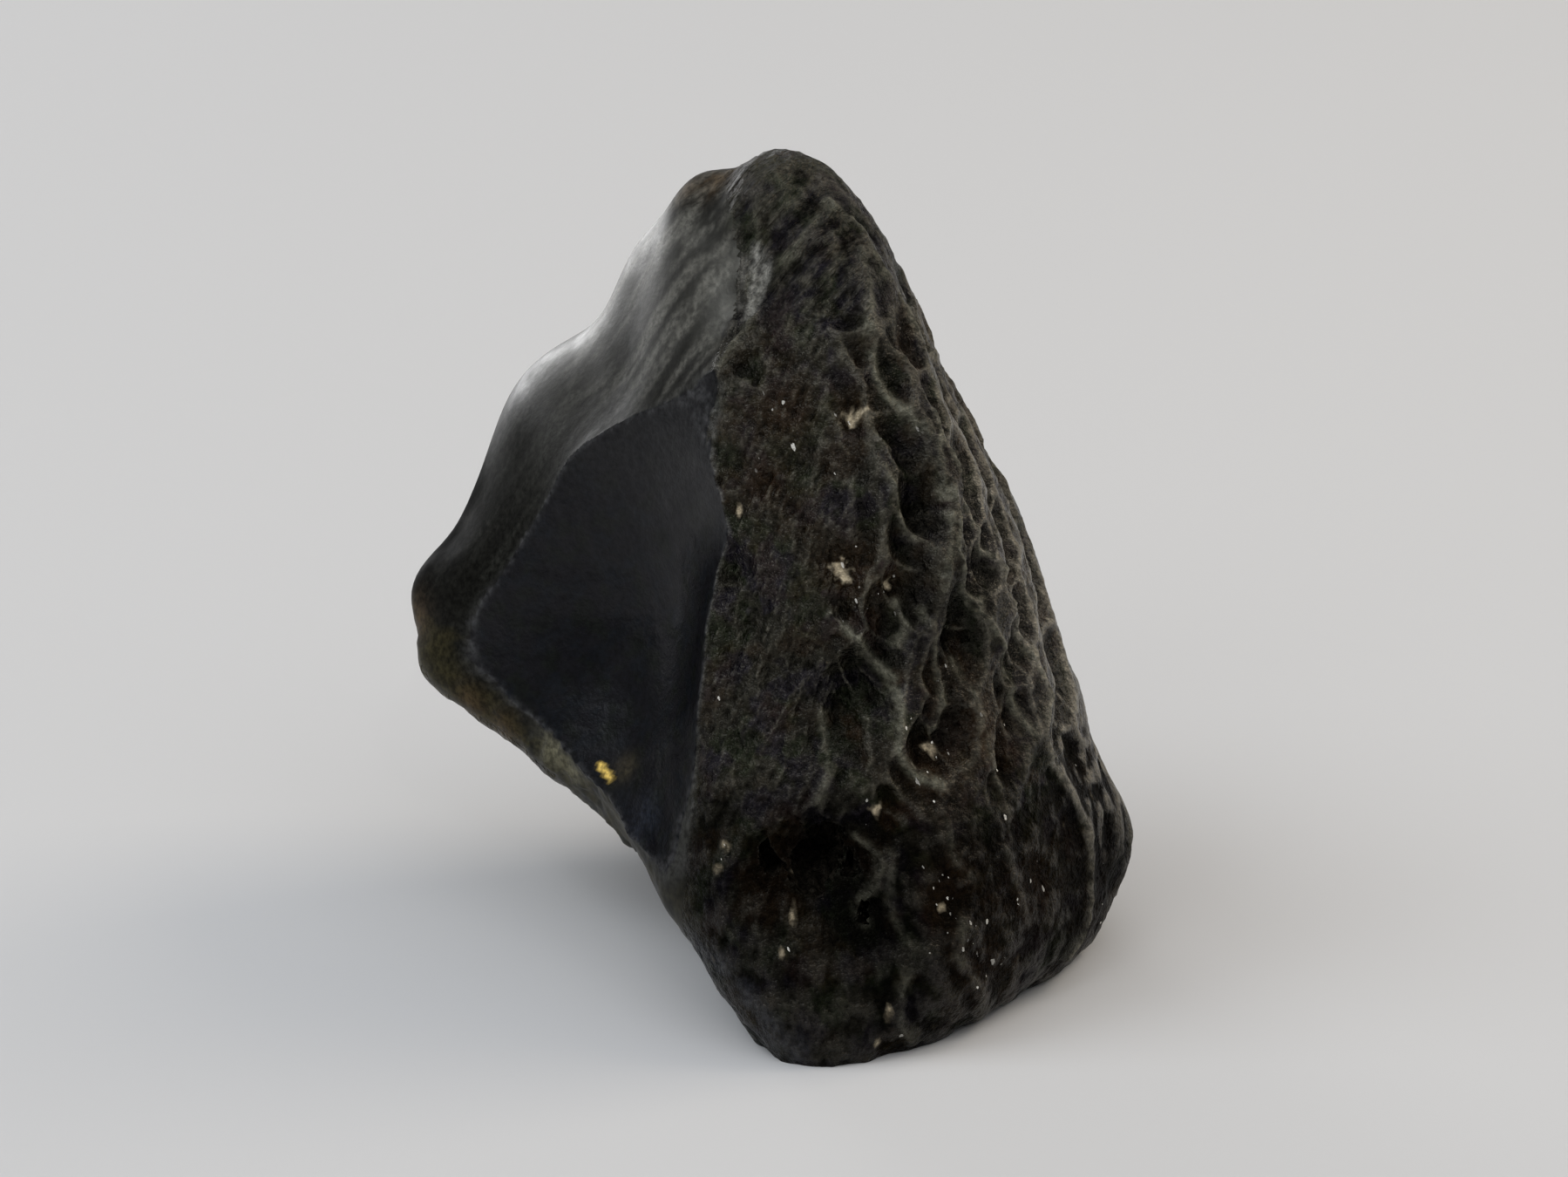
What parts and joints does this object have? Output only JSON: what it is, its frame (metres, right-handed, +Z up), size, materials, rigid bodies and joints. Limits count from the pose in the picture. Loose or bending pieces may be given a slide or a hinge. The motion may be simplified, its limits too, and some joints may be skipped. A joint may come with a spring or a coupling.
{
  "type": "indochinite tektite",
  "caption": "Upright lump of black-brown natural glass with a pitted skin, a smooth hollow fracture on its left and a flat worn base that it rests on.",
  "frame": {"origin": "under the middle of the stone's bounding box, on the plane that it rests on", "axes": "+Z up through the stone's tip, -Y towards the viewer of its pitted front, +X to the viewer's right"},
  "size_m": [0.0504, 0.0432, 0.054],
  "materials": {
    "tektite_glass": "satin, pitted natural skin with a glossy fracture"
  },
  "bodies": {
    "root": {"tektite": "tektite_glass"}
  },
  "joints": []
}
